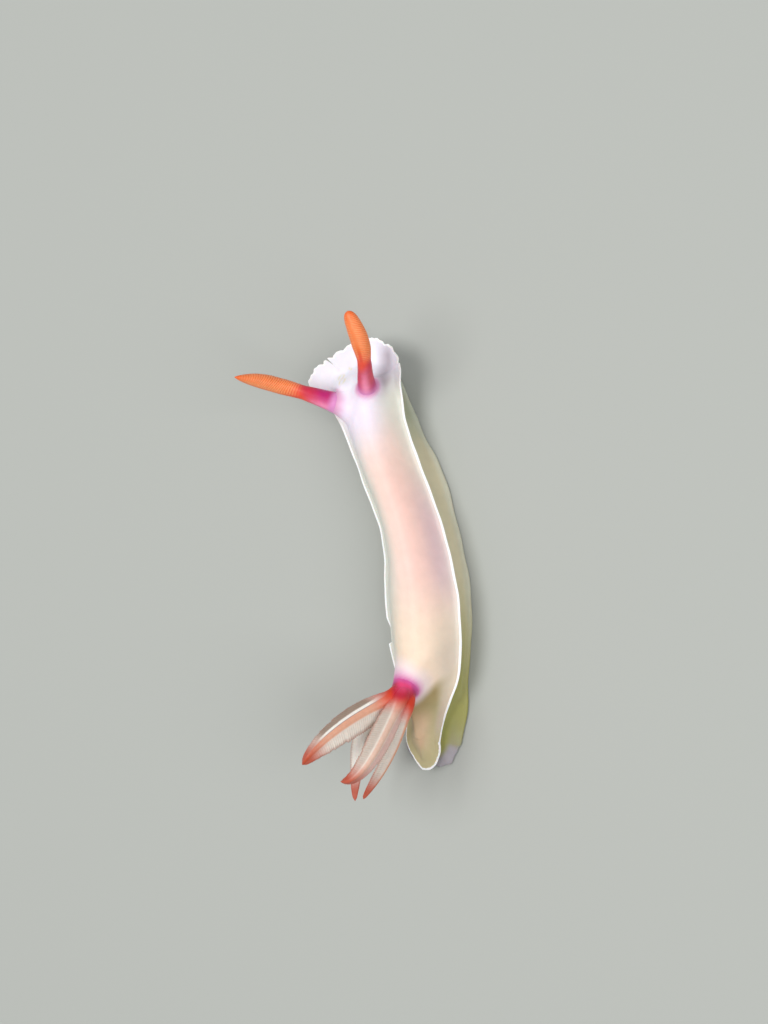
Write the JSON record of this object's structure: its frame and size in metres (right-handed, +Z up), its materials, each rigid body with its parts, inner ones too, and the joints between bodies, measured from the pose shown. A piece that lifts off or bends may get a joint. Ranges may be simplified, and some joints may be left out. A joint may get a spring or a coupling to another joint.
{
  "type": "lavender split-tooth dorid sea slug",
  "caption": "Life-size still model of a slender pale sea slug with a flared white hood, club-shaped ringed feelers, a narrow mantle, a flat foot and a plume of leafy gills swept back.",
  "frame": {"origin": "middle of the bounding box in plan, at the level of the flat sole", "axes": "+Y towards the head, +X towards the animal's right side, +Z up from the surface that it crawls on"},
  "size_m": [0.0214, 0.0492, 0.0152],
  "materials": {
    "hood_flesh": "moist white flesh, opaque towards the rim, magenta at the feelers",
    "mantle_flesh": "moist translucent cream flesh with a pink blush and a thin white edge line",
    "foot_flesh": "moist translucent greyish cream flesh with a lavender edge",
    "rhinophore_stalk": "moist flesh, magenta at the root and red above",
    "rhinophore_club": "moist orange flesh ringed with paler lamella edges",
    "gill_stem": "moist crimson flesh, magenta at its root",
    "gill_branch": "moist whitish leaflets with an orange-red midrib, edges and tip"
  },
  "bodies": {
    "root": {"mantle_hood": "hood_flesh", "mantle_front": "mantle_flesh", "mantle_middle": "mantle_flesh", "mantle_rear": "mantle_flesh", "mantle_tail": "mantle_flesh", "foot_front": "foot_flesh", "foot_middle": "foot_flesh", "foot_tail": "foot_flesh", "head": "foot_flesh", "oral_tentacle_left": "foot_flesh", "oral_tentacle_right": "foot_flesh", "rhinophore_stalk_left": "rhinophore_stalk", "rhinophore_stalk_right": "rhinophore_stalk", "rhinophore_club_left": "rhinophore_club", "rhinophore_club_right": "rhinophore_club", "gill_stem": "gill_stem", "gill_branch_1": "gill_branch", "gill_branch_2": "gill_branch", "gill_branch_3": "gill_branch", "gill_branch_4": "gill_branch", "gill_branch_5": "gill_branch", "gill_branch_6": "gill_branch"}
  },
  "joints": []
}
